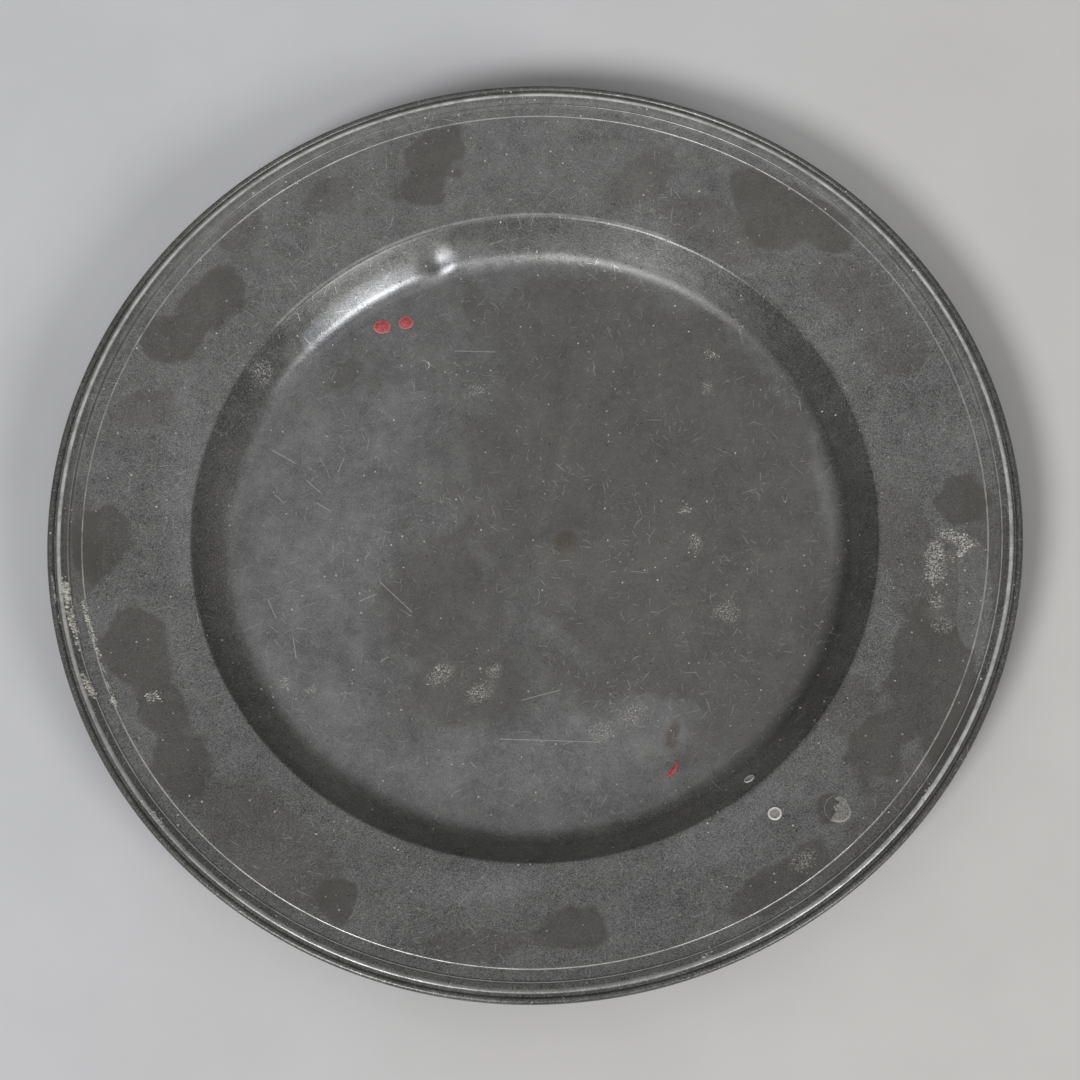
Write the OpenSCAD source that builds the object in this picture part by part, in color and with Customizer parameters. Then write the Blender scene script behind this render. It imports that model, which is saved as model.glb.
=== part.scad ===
// A broad-rimmed pewter charger: one casting turned on a lathe, with the drops that have dried on it.
// Millimetres. The origin is the middle of the flat underside, and +Z is the axis of turning.

/* [Overall] */
// Diameter over the reed at the outer edge
overall_d = 420; // [370:1:520]
// Thickness of the metal in the well, the booge and the rim
wall = 2.2; // [1.6:0.1:3.2]

/* [Well and booge] */
// Width of the booge, the sloping wall between well and rim, seen from above
booge_w = 20.5; // [17:0.5:28]
// Depth of the well below the inner edge of the rim
well_depth = 16.7; // [12:0.1:20]
// Radius of the hollow in which the booge leaves the flat well
foot_r = 11; // [7:0.5:12.5]
// Radius of the hollow under the inner edge of the rim
neck_r = 0.6; // [0.3:0.1:2]

/* [Rim] */
// Width of the rim, from the booge to the outer edge
rim_w = 60; // [48:0.2:72]
// Angle at which the rim rises outwards
rim_slope = 9.5; // [3:0.5:12]

/* [Rim moulding] */
// How far the edge reed stands proud of the rim, above and below
reed_proud = 0.4; // [0.1:0.1:1]
// Width of the groove between the edge reed and the bead
groove_w = 0.7; // [0.5:0.1:1.5]
// Depth of that groove below the top of the rim
groove_depth = 0.5; // [0.2:0.1:0.9]
// Width of the bead, from that groove to the cove
bead_w = 5.2; // [4:0.1:7]
// Height of the bead's crest above the rim
bead_h = 1.35; // [1.1:0.05:2]
// Radius of the crest, which lies beside the groove
crest_r = 1.2; // [0.6:0.1:1.5]
// Height above the rim at which the bead's sloping face meets the cove
cove_rise = 0.8; // [0.6:0.05:1]
// Radius of the cove
cove_r = 1.2; // [0.9:0.1:1.8]
// How steep the cove ends, measured from the rim
cove_turn = 55; // [40:1:65]
// Width of the band and the cove together
band_w = 5.5; // [4:0.1:8]
// Radius of the scribed line at the inner edge of the band
line_r = 0.35; // [0.2:0.05:0.6]
// Depth of the scribed line
line_depth = 0.2; // [0.1:0.05:0.3]

/* [Red wax] */
// Diameter of the larger drop
red_large_d = 7.4; // [4:0.1:10]
// Height of the larger drop
red_large_h = 0.9; // [0.4:0.1:2]
// Distance of the larger drop from the edge of the well
red_large_inset = 5.8; // [5:0.2:40]
// Direction of the larger drop
red_large_angle = 119.4; // [-180:0.1:180]
// Diameter of the smaller drop
red_small_d = 6.4; // [3:0.1:10]
// Height of the smaller drop
red_small_h = 0.8; // [0.4:0.1:2]
// Distance of the smaller drop from the edge of the well
red_small_inset = 9.8; // [5:0.2:40]
// Direction of the smaller drop
red_small_angle = 114.6; // [-180:0.1:180]
// Length of the streak, without its round ends
streak_l = 7; // [3:0.5:20]
// Width of the streak
streak_w = 1.8; // [1:0.1:4]
// Height of the streak
streak_h = 0.4; // [0.2:0.05:1]
// Distance of the streak's middle from the edge of the well
streak_inset = 9.8; // [8:0.2:40]
// Direction of the streak's middle
streak_angle = -65.5; // [-180:0.1:180]
// Turn of the streak from the X axis
streak_turn = 57; // [0:1:180]

/* [Pale drops] */
// Diameter of the drop on the rim
pale_rim_d = 5.6; // [3:0.1:10]
// Height of the drop on the rim
pale_rim_h = 0.7; // [0.3:0.1:2]
// Distance of the drop on the rim from the booge
pale_rim_inset = 14; // [6:0.5:30]
// Direction of the drop on the rim
pale_rim_angle = -56.6; // [-180:0.1:180]
// Diameter of the drop on the booge
pale_booge_d = 4.6; // [3:0.1:7]
// Height of the drop on the booge
pale_booge_h = 0.7; // [0.3:0.1:2]
// How far up the booge's slope that drop sits
pale_booge_climb = 10.2; // [4:0.2:12]
// Direction of the drop on the booge
pale_booge_angle = -55.5; // [-180:0.1:180]
// Gap under the drops on the rim and the booge, which are not flat
seat_gap = 0.3; // [0.2:0.01:0.4]

/* [Hidden] */
$fn = 240;
arc_step = 5;

pewter_grey = "#5e5f5f";
wax_red = "#a8383b";
dried_grey = "#a3a29b";

// Radii seen from above
edge_r = overall_d / 2 - rim_w;
well_r = edge_r - booge_w;

// Slope of the line from p that passes a circle at distance r above it, or below it where r is negative
function slope_past(p, centre, r) = atan2(centre[1] - p[1], centre[0] - p[0]) + asin(r / norm(centre - p));

// The booge is a straight slope that touches a hollow arc at its foot and the round shoulder of the rim
shoulder_r = neck_r + wall;
edge = [edge_r, wall + well_depth];
foot_centre = [well_r, wall + foot_r];
shoulder_centre = edge + shoulder_r * [sin(rim_slope), -cos(rim_slope)];
booge_slope = slope_past(foot_centre, shoulder_centre, foot_r + shoulder_r);
foot_top = foot_centre + foot_r * [sin(booge_slope), -cos(booge_slope)];

// Places across the rim, measured along its slope from its inner edge and up from its top
reed_r = wall / 2 + reed_proud;
reed_x = (overall_d / 2 - reed_r - edge_r - wall / 2 * sin(rim_slope)) / cos(rim_slope);
bead_end_x = reed_x - reed_r - groove_w;
arris_x = bead_end_x - bead_w;
band_x = arris_x - band_w;

reed_centre = [reed_x, -wall / 2];
reed_from = asin(wall / 2 / reed_r) - 180;
reed_to = 180 - asin((wall / 2 - groove_depth) / reed_r);

// The bead's face runs from the arris over the cove up to the crest, and the band runs in below the cove
arris = [arris_x, cove_rise];
crest_centre = [bead_end_x - crest_r, bead_h - crest_r];
face_slope = slope_past(arris, crest_centre, crest_r);
cove_centre = arris + cove_r * [-sin(cove_turn), cos(cove_turn)];
band_slope = slope_past([band_x, 0], cove_centre, -cove_r);

line_dip = asin((line_r - line_depth) / line_r);
line_centre = [band_x - line_r * cos(line_dip), line_r - line_depth];

// Points along an arc, without its last point, which starts the next stretch of the outline
function arc(centre, r, from, to) =
    let (n = ceil(abs(to - from) / arc_step))
    [for (i = [0 : n - 1]) let (a = from + (to - from) * i / n) centre + r * [cos(a), sin(a)]];

// A point measured along a slope and off it
function turned(p, slope) = [
    p[0] * cos(slope) - p[1] * sin(slope),
    p[0] * sin(slope) + p[1] * cos(slope)
];
function on_rim(p) = edge + turned(p, rim_slope);
function on_booge(p) = foot_top + turned(p, booge_slope);

// From under the rim's inner edge out to the reed, and back over the bead, the cove and the scribed line
rim_outline = concat(
    [[0, -wall]],
    arc(reed_centre, reed_r, reed_from, reed_to),
    [reed_centre + reed_r * [cos(reed_to), sin(reed_to)]],
    [[bead_end_x, -groove_depth]],
    arc(crest_centre, crest_r, 0, 90 + face_slope),
    [crest_centre + crest_r * [-sin(face_slope), cos(face_slope)]],
    arc(cove_centre, cove_r, cove_turn - 90, band_slope - 90),
    [cove_centre + cove_r * [sin(band_slope), -cos(band_slope)]],
    arc(line_centre, line_r, -line_dip, line_dip - 180),
    [line_centre + line_r * [-cos(line_dip), -sin(line_dip)]]
);

// From the axis out along the underside, and back along the top
charger_outline = concat(
    [[0, 0]],
    arc(foot_centre, foot_r + wall, -90, booge_slope - 90),
    [on_booge([0, -wall])],
    arc(shoulder_centre, neck_r, 90 + booge_slope, 90 + rim_slope),
    [for (p = rim_outline) on_rim(p)],
    arc(shoulder_centre, shoulder_r, 90 + rim_slope, 90 + booge_slope),
    [shoulder_centre + shoulder_r * [-sin(booge_slope), cos(booge_slope)]],
    arc(foot_centre, foot_r, booge_slope - 90, -90),
    [[well_r, wall], [0, wall]]
);

module charger_body() {
    rotate_extrude()
        polygon(charger_outline);
}

// Radius of the ball whose cap has this width and height
function cap_ball_r(d, h) = ((d / 2) ^ 2 + h ^ 2) / (2 * h);

// The whole ball of a drop that stands h above the plane z = 0
module drop_ball(d, h) {
    translate([0, 0, h - cap_ball_r(d, h)])
        sphere(cap_ball_r(d, h));
}

// What its children have within d of the Z axis and above the plane z = 0
module above_seat(d, h) {
    intersection() {
        children();
        translate([-d, -d, 0])
            cube([2 * d, 2 * d, h]);
    }
}

module flat_drop(d, h) {
    above_seat(d, h)
        drop_ball(d, h);
}

module well_drop(d, h, inset, angle) {
    rotate(angle)
        translate([well_r - inset, 0, wall])
            flat_drop(d, h);
}

module sloped_drop(d, h, seat, slope, angle) {
    rotate(angle)
        translate([seat[0], 0, seat[1]])
            rotate([0, -slope, 0])
                flat_drop(d, h);
}

module charger() {
    color(pewter_grey)
        charger_body();
}

module red_drop_large() {
    color(wax_red)
        well_drop(red_large_d, red_large_h, red_large_inset, red_large_angle);
}

module red_drop_small() {
    color(wax_red)
        well_drop(red_small_d, red_small_h, red_small_inset, red_small_angle);
}

module red_streak() {
    ridge_r = cap_ball_r(streak_w, streak_h);
    color(wax_red)
        rotate(streak_angle)
            translate([well_r - streak_inset, 0, wall])
                rotate(streak_turn - streak_angle)
                    above_seat(streak_l, streak_h)
                        translate([0, 0, streak_h - ridge_r]) {
                            rotate([0, 90, 0])
                                cylinder(h = streak_l, r = ridge_r, center = true);
                            for (end = [-1, 1])
                                translate([end * streak_l / 2, 0, 0])
                                    sphere(ridge_r);
                        }
}

module pale_drop_rim() {
    color(dried_grey)
        sloped_drop(pale_rim_d, pale_rim_h, on_rim([pale_rim_inset, seat_gap]), rim_slope, pale_rim_angle);
}

module pale_drop_booge() {
    seat = on_booge([pale_booge_climb, seat_gap]);
    color(dried_grey)
        sloped_drop(pale_booge_d, pale_booge_h, seat, booge_slope, pale_booge_angle);
}

charger();
red_drop_large();
red_drop_small();
red_streak();
pale_drop_rim();
pale_drop_booge();
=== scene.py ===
"""A worn pewter charger on a plain pale floor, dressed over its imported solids. Metres, +Z up."""
import math
import random
from collections import namedtuple

import bmesh
import bpy
import numpy as np
from mathutils import Matrix, Vector, noise


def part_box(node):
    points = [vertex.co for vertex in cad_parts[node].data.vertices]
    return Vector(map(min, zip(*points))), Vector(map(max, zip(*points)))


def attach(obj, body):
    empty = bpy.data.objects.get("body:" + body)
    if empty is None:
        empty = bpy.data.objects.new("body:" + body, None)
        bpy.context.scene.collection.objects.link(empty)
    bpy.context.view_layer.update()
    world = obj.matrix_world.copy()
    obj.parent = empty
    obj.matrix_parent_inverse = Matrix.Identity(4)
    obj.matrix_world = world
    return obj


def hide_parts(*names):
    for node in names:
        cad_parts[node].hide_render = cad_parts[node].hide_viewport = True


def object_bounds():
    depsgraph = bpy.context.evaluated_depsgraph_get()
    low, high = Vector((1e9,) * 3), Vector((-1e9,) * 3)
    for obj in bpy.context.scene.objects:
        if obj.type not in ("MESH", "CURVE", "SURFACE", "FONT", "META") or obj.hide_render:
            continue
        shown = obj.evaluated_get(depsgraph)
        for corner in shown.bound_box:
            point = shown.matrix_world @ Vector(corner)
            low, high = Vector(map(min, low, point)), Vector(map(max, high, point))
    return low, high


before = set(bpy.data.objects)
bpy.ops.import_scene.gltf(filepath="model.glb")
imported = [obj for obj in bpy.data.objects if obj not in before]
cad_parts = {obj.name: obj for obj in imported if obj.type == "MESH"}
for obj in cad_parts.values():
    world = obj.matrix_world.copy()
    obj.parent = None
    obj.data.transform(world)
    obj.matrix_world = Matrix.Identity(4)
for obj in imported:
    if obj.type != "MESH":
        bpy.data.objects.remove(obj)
cad_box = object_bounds()

MM = 0.001
QUARTER = math.pi / 2

# Section of the charger, in millimetres, as in its drawing
OVERALL_R = cad_box[1][0] / MM
WALL = 2.2
BOOGE_W = 20.5
WELL_DEPTH = 16.7
FOOT_R = 11.0
NECK_R = 0.6
RIM_W = 60.0
RIM_SLOPE = math.radians(9.5)
REED_PROUD = 0.4
GROOVE_W = 0.7
GROOVE_DEPTH = 0.5
BEAD_W = 5.2
BEAD_H = 1.35
CREST_R = 1.2
COVE_RISE = 0.8
COVE_R = 1.2
COVE_TURN = math.radians(55)
BAND_W = 5.5
LINE_R = 0.35
LINE_DEPTH = 0.2

EDGE_R = OVERALL_R - RIM_W
WELL_R = EDGE_R - BOOGE_W
EDGE_Z = WALL + WELL_DEPTH
SHOULDER_R = NECK_R + WALL

# How the charger's mesh is spun and smoothed
SPIN_STEPS = 480
SMOOTH_ANGLE = math.radians(32)

# The slight waves of old metal: height, length, where their noise starts, and their share in the well
WAVE_H = 0.3
WAVE_L = 70
WAVE_START = 0.3
RIPPLE_H = 0.12
RIPPLE_L = 24
RIPPLE_START = 5.1
WELL_WAVE_SHARE = 0.5

# How deep what has dried on the metal is let into it
SINK = 0.05


def polar(centre, radius, angle):
    return (centre[0] + radius * math.cos(angle), centre[1] + radius * math.sin(angle))


def arc(centre, radius, start, end, step):
    """Points along an arc, at most step degrees apart, without its last point."""
    count = max(2, math.ceil(abs(end - start) / math.radians(step)))
    return [polar(centre, radius, start + (end - start) * i / count) for i in range(count)]


def run(start, end, step):
    """Points along a straight stretch, at most step millimetres apart, without its last point."""
    count = max(1, math.ceil(math.dist(start, end) / step))
    return [tuple(s + (e - s) * i / count for s, e in zip(start, end)) for i in range(count)]


def slope_past(p, centre, radius):
    """Slope of the line from p that passes a circle at a distance: above it, or below it if negative."""
    return math.atan2(centre[1] - p[1], centre[0] - p[0]) + math.asin(radius / math.dist(p, centre))


def on_rim(p):
    """A point of the rim's own section, set on the slope of the rim."""
    x, y = p
    return (
        EDGE_R + x * math.cos(RIM_SLOPE) - y * math.sin(RIM_SLOPE),
        EDGE_Z + x * math.sin(RIM_SLOPE) + y * math.cos(RIM_SLOPE),
    )


# The rim's moulding, measured along the slope of the rim and up from it
REED_R = WALL / 2 + REED_PROUD
REED_X = (OVERALL_R - REED_R - EDGE_R - WALL / 2 * math.sin(RIM_SLOPE)) / math.cos(RIM_SLOPE)
REED_CENTRE = (REED_X, -WALL / 2)
BEAD_END = REED_X - REED_R - GROOVE_W
ARRIS = (BEAD_END - BEAD_W, COVE_RISE)
BAND_START = (ARRIS[0] - BAND_W, 0)
CREST_CENTRE = (BEAD_END - CREST_R, BEAD_H - CREST_R)
COVE_CENTRE = polar(ARRIS, COVE_R, COVE_TURN + QUARTER)


def moulding():
    """The top of the rim from the booge out over band, cove, bead and groove, and round the reed."""
    dip = math.asin((LINE_R - LINE_DEPTH) / LINE_R)
    line_half = LINE_R * math.cos(dip)
    line_centre = (BAND_START[0] - line_half, LINE_R - LINE_DEPTH)
    line_start = (BAND_START[0] - 2 * line_half, 0)
    face_slope = slope_past(ARRIS, CREST_CENTRE, CREST_R)
    band_slope = slope_past(BAND_START, COVE_CENTRE, -COVE_R)
    cove_start = polar(COVE_CENTRE, COVE_R, band_slope - QUARTER)
    crest_start = polar(CREST_CENTRE, CREST_R, face_slope + QUARTER)
    reed_top = math.pi - math.asin((WALL / 2 - GROOVE_DEPTH) / REED_R)
    reed_under = math.asin(WALL / 2 / REED_R) - math.pi
    reed_inside = polar(REED_CENTRE, REED_R, reed_top)

    points = run((0, 0), line_start, step=3)
    points += arc(line_centre, LINE_R, dip - math.pi, -dip, step=26)
    points += run(BAND_START, cove_start, step=1.6)
    points += arc(COVE_CENTRE, COVE_R, band_slope - QUARTER, COVE_TURN - QUARTER, step=10)
    points += run(ARRIS, crest_start, step=1.4)
    points += arc(CREST_CENTRE, CREST_R, face_slope + QUARTER, 0, step=11)
    points += [(BEAD_END, CREST_CENTRE[1]), (BEAD_END, -GROOVE_DEPTH), reed_inside]
    points += arc(REED_CENTRE, REED_R, reed_top, reed_under, step=13)[1:]
    return points + [polar(REED_CENTRE, REED_R, reed_under)]


def section():
    """The outline from the middle of the well over the rim, and back under it to the axis."""
    foot_centre = (WELL_R, WALL + FOOT_R)
    shoulder_centre = on_rim((0, -SHOULDER_R))
    slope = slope_past(foot_centre, shoulder_centre, FOOT_R + SHOULDER_R)
    foot_top = polar(foot_centre, FOOT_R, slope - QUARTER)
    heel_top = polar(foot_centre, FOOT_R + WALL, slope - QUARTER)
    shoulder_foot = polar(shoulder_centre, SHOULDER_R, slope + QUARTER)
    neck_foot = polar(shoulder_centre, NECK_R, slope + QUARTER)

    top = run((0, WALL), (WELL_R, WALL), step=4)
    top += arc(foot_centre, FOOT_R, -QUARTER, slope - QUARTER, step=4)
    top += run(foot_top, shoulder_foot, step=2)
    top += arc(shoulder_centre, SHOULDER_R, slope + QUARTER, RIM_SLOPE + QUARTER, step=5)
    top += [on_rim(p) for p in moulding()]
    under = [on_rim(p) for p in run((BAND_START[0], -WALL), (0, -WALL), step=12)]
    under += arc(shoulder_centre, NECK_R, RIM_SLOPE + QUARTER, slope + QUARTER, step=12)
    under += run(neck_foot, heel_top, step=2)
    under += arc(foot_centre, FOOT_R + WALL, slope - QUARTER, -QUARTER, step=8)
    under += run((WELL_R, 0), (0, 0), step=22) + [(0, 0)]
    return top, under


# The top as far as the widest point of the reed carries what lies on the charger
TOP, UNDER = section()
TOP_RADII, TOP_HEIGHTS = zip(*TOP[: TOP.index(max(TOP)) + 1])


def top_height(radius):
    """Height of the top at a radius."""
    return float(np.interp(radius, TOP_RADII, TOP_HEIGHTS))


# The photograph's camera, found from the ellipses of the edge, the moulding and the booge
PHOTO_SIDE = 1080
CAMERA_REACH = 1250 * MM
CAMERA_RISE = math.radians(69.85)
CAMERA_ROLL = math.radians(-4.53)
FOCAL_PIXELS = 2901
SENSOR_W = 36.0
EDGE_LEVEL = on_rim(REED_CENTRE)[1] * MM
CAMERA_FROM = Vector((0, -math.cos(CAMERA_RISE), math.sin(CAMERA_RISE)))
CAMERA_AT = CAMERA_FROM * CAMERA_REACH + Vector((0, 0, EDGE_LEVEL))
CAMERA_AIM = Vector((2.2 * MM, -9.5 * MM, EDGE_LEVEL))
CAMERA_LOOK = (CAMERA_AIM - CAMERA_AT).to_track_quat("-Z", "Y").to_matrix()
CAMERA_TURN = CAMERA_LOOK @ Matrix.Rotation(CAMERA_ROLL, 3, "Z")
SIGHT_STEPS = 12


def on_charger(u, v):
    """Place on the charger's top, in millimetres, that the photograph shows at a pixel."""
    half = PHOTO_SIDE / 2
    ray = CAMERA_TURN @ Vector(((u - half) / FOCAL_PIXELS, (half - v) / FOCAL_PIXELS, -1))
    height = EDGE_LEVEL
    for _ in range(SIGHT_STEPS):
        hit = CAMERA_AT + ray * ((height - CAMERA_AT.z) / ray.z)
        height = top_height(hit.xy.length / MM) * MM
    return hit / MM


# Marks on the metal: pixel of the photograph, half length and half width in millimetres, turn in degrees
Mark = namedtuple("Mark", "u v along across turn")
STAINS = [
    Mark(436, 152, 14, 11, 0),
    Mark(420, 190, 9, 8, 0),
    Mark(752, 193, 12, 9, -50),
    Mark(768, 232, 9, 8, 0),
    Mark(828, 228, 13, 9, -35),
    Mark(795, 213, 17, 9, -35),
    Mark(172, 338, 13, 13, 0),
    Mark(214, 300, 15, 9, 45),
    Mark(107, 530, 13, 12, 90),
    Mark(92, 560, 11, 8, 90),
    Mark(135, 645, 20, 12, -72),
    Mark(160, 714, 10, 9, 0),
    Mark(183, 765, 14, 11, -45),
    Mark(338, 898, 9, 7, 90),
    Mark(578, 930, 15, 9, 0),
    Mark(962, 502, 12, 11, 70),
    Mark(925, 665, 23, 16, 65),
    Mark(880, 742, 19, 12, 50),
    Mark(768, 890, 15, 8, 30),
    Mark(829, 809, 4.5, 5, 0),
    Mark(945, 705, 22, 9, 72),
    Mark(808, 862, 9, 7, 30),
]
SHADES = [
    Mark(895, 347, 13, 13, 0),
    Mark(735, 240, 14, 8, -35),
    Mark(850, 288, 20, 11, -42),
    Mark(905, 545, 24, 8, 88),
    Mark(858, 712, 12, 10, 50),
    Mark(642, 176, 18, 9, 40),
    Mark(700, 215, 14, 9, -20),
    Mark(240, 230, 13, 8, 40),
    Mark(330, 195, 12, 8, 25),
    Mark(148, 408, 19, 9, 10),
    Mark(80, 545, 26, 9, 88),
    Mark(985, 540, 30, 8, 88),
    Mark(250, 822, 26, 15, -40),
    Mark(312, 885, 13, 9, 0),
    Mark(275, 855, 18, 12, -35),
    Mark(470, 945, 20, 7, 0),
    Mark(905, 800, 22, 12, 50),
    Mark(935, 590, 12, 20, 0),
    Mark(850, 860, 14, 8, 40),
    Mark(948, 755, 26, 10, 60),
    Mark(473, 304, 9, 3.6, 85),
    Mark(345, 375, 10, 4.5, 40),
    Mark(560, 310, 26, 14, 0),
    Mark(620, 390, 46, 42, 0),
    Mark(615, 490, 58, 50, 0),
    Mark(440, 615, 24, 26, 0),
    Mark(730, 560, 48, 68, 0),
    Mark(690, 680, 40, 28, 0),
    Mark(465, 695, 24, 12, 0),
]
# Pale hazy patches, partly painted sheen that makes the left and near part of the well lighter
HAZES_AND_SHEEN = [
    Mark(365, 540, 28, 12, 85),
    Mark(300, 520, 48, 22, 85),
    Mark(300, 700, 30, 26, -40),
    Mark(520, 762, 64, 15, 0),
    Mark(400, 420, 20, 14, 60),
    Mark(640, 722, 20, 12, 0),
    Mark(185, 490, 46, 9, 88),
    Mark(725, 828, 26, 12, 30),
    Mark(480, 886, 28, 8, 0),
    Mark(828, 470, 30, 6, 88),
]
FILMS = [
    Mark(973, 570, 14, 6.5, 85),
    Mark(974, 620, 13, 6.5, 80),
]
BROWNS = [
    Mark(675, 729, 4, 2, 60),
    Mark(671, 740, 4, 3, 70),
    Mark(565, 540, 5.5, 4.5, 20),
]
DUSTS = [
    Mark(225, 500, 60, 14, 90),
    Mark(245, 640, 40, 14, -70),
    Mark(300, 755, 40, 14, -45),
    Mark(400, 835, 40, 14, -20),
    Mark(520, 862, 40, 14, 0),
    Mark(640, 850, 40, 14, 15),
    Mark(745, 800, 30, 14, 40),
]
POLISHES = [
    Mark(316, 337, 7, 6, 40),
    Mark(336, 318, 8, 7, 35),
    Mark(358, 302, 9, 8, 30),
    Mark(380, 289, 9, 8, 25),
    Mark(402, 279, 8, 7, 20),
    Mark(446, 258, 6, 7, 10),
]
# Along the far edge of the booge: worn bright, and a painted highlight
RUBS_AND_HIGHLIGHTS = [
    Mark(300, 300, 16, 5, 40),
    Mark(345, 265, 18, 5, 35),
    Mark(395, 241, 18, 5, 25),
    Mark(445, 225, 18, 5, 12),
    Mark(505, 217, 18, 5, 3),
    Mark(570, 216, 18, 5, -3),
    Mark(640, 228, 18, 5, -12),
]

# Long scratches, from one pixel of the photograph to another
SCORES = [
    (380, 582, 412, 612),
    (455, 351, 495, 352),
    (500, 739, 600, 742),
    (222, 425, 252, 460),
    (272, 450, 295, 463),
    (522, 700, 560, 690),
    (306, 480, 321, 493),
    (317, 503, 330, 511),
    (275, 495, 284, 503),
    (338, 472, 344, 458),
    (365, 559, 370, 552),
    (268, 600, 276, 618),
    (293, 637, 296, 658),
    (360, 601, 377, 594),
    (380, 662, 388, 657),
    (305, 338, 309, 343),
    (309, 343, 316, 348),
    (298, 313, 300, 321),
]

# The knock in the booge: pixel of its middle, height it stands in, and half width across and up the slope
DENT_AT = (437, 263)
DENT_H = 1.35
DENT_ACROSS = 4.0
DENT_UP = 5.5

# Height over which the knock fades out towards the flat base
BASE_FADE = 4.0

# Lime that has dried in clusters: as the marks, and the number and the size of its flakes
Cluster = namedtuple("Cluster", "u v along across turn count size")
CLUSTERS = [
    Cluster(957, 538, 8, 2.6, -32, 80, 0.9),
    Cluster(962, 552, 5, 1.3, 40, 40, 1.3),
    Cluster(936, 554, 6, 4, 80, 70, 0.9),
    Cluster(936, 574, 6, 5, 70, 60, 0.9),
    Cluster(937, 601, 4.5, 4.5, 0, 40, 0.7),
    Cluster(941, 625, 5, 4, 0, 30, 0.6),
    Cluster(65, 587, 3.5, 1.5, -80, 70, 1.5),
    Cluster(67, 597, 3.5, 1.4, -77, 50, 1.4),
    Cluster(71, 614, 4, 1.5, -75, 70, 1.5),
    Cluster(74, 627, 4, 1.3, -74, 50, 1.2),
    Cluster(78, 642, 3, 1.0, -72, 24, 1.0),
    Cluster(84, 676, 2.5, 1.2, -67, 24, 1.1),
    Cluster(90, 688, 3.5, 1.3, -65, 60, 1.4),
    Cluster(85, 607, 3.5, 0.8, -77, 60, 1.0),
    Cluster(88, 620, 4, 0.9, -75, 70, 1.1),
    Cluster(93, 637, 4, 0.9, -73, 56, 1.0),
    Cluster(97, 650, 3, 0.8, -71, 26, 0.9),
    Cluster(103, 668, 4, 0.4, -69, 36, 0.6),
    Cluster(109, 686, 4, 0.4, -66, 36, 0.6),
    Cluster(114, 702, 2.5, 1.0, -62, 44, 1.1),
    Cluster(53, 582, 4, 0.5, -84, 26, 0.7),
    Cluster(55, 597, 4, 0.5, -84, 26, 0.7),
    Cluster(59, 620, 3, 0.5, -82, 14, 0.6),
    Cluster(155, 815, 7, 1.2, -50, 18, 0.8),
    Cluster(925, 795, 5, 1.2, 55, 14, 0.8),
    Cluster(706, 955, 5, 1.2, 20, 12, 0.8),
    Cluster(153, 696, 3.6, 2.8, 0, 60, 0.8),
    Cluster(440, 675, 6, 4.5, 30, 30, 0.8),
    Cluster(480, 692, 7, 4.5, 10, 32, 0.7),
    Cluster(494, 670, 4, 3, 0, 12, 0.7),
    Cluster(286, 681, 3, 4, 0, 12, 0.7),
    Cluster(310, 690, 3.5, 2.5, 0, 10, 0.7),
    Cluster(685, 510, 3, 2.5, 0, 12, 0.9),
    Cluster(695, 543, 3, 5.5, 0, 20, 0.8),
    Cluster(711, 354, 3.5, 2.5, -40, 18, 0.8),
    Cluster(708, 388, 3, 4, 0, 16, 0.6),
    Cluster(725, 612, 6, 6, 0, 70, 0.42),
    Cluster(634, 712, 9, 5, 10, 44, 0.42),
    Cluster(598, 732, 6, 4, 0, 18, 0.4),
    Cluster(477, 390, 7, 3.5, 10, 40, 0.5),
    Cluster(395, 848, 5, 0.8, -25, 9, 0.8),
    Cluster(803, 860, 6.5, 4.5, 30, 60, 0.5),
    Cluster(262, 370, 4, 6, -30, 22, 0.5),
]

# Flakes that lie alone: pixel of the photograph and size
LONE_FLAKES = [
    (316, 834, 1.5), (133, 381, 1.0), (118, 433, 1.0), (178, 508, 0.9),
    (337, 264, 1.1), (299, 297, 1.0), (533, 540, 1.0),
]
LONE_REACH = 0.1
CLUSTERS += [Cluster(u, v, LONE_REACH, LONE_REACH, 0, 1, size) for u, v, size in LONE_FLAKES]

# Flakes of at least this size stand in a crust of lime, and smaller ones in a thin bloom
CRUST_FLAKE = 0.85

# A tiny dot of wax and a crescent of lime: pixel of the photograph
RED_DOT_AT = (410, 333)
CRESCENT_AT = (426, 365)

# Ridges of wax and lime: places round their middle, in millimetres, and shares of their width and height
STREAK = [
    (2.3, 4.1, 0.2), (2.5, 3.0, 0.6), (2.6, 1.6, 0.9), (2.1, 0.2, 1.0),
    (1.1, -1.1, 1.0), (-0.3, -2.1, 0.8), (-1.7, -2.8, 0.55), (-3.0, -3.2, 0.15),
]
STREAK_BRANCH = [
    (1.4, 0.9, 0.3), (0.5, 0.2, 0.7), (-0.5, -0.5, 1.0),
    (-1.2, -1.5, 0.6), (-1.9, -2.2, 0.9), (-2.9, -2.6, 0.3),
]
CRESCENT = [(0.3, 2.0, 0.4), (1.2, 1.1, 0.8), (1.6, 0, 1.0), (1.3, -1.1, 0.8), (0.5, -1.9, 0.4)]

# Mounds from their foot in: shares of their width and height. Wax set with a thin raised edge round a low
# dome, and the pale drops dried from their edge in, to a raised ring round a sunken middle.
WAX_SHAPE = [(0.985, 0.3), (0.93, 0.52), (0.86, 0.5), (0.74, 0.56), (0.55, 0.78), (0.34, 0.94), (0.14, 1.0)]
RING_SHAPE = [(0.98, 0.4), (0.92, 0.85), (0.83, 1.0), (0.73, 0.8), (0.62, 0.45), (0.42, 0.34), (0.16, 0.36)]
FLAKE_SHAPE = [(0.85, 1.0), (0.3, 1.2)]

# How close the lumps of an uneven mound lie
LUMPS_PER_MM = 1.3

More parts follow.
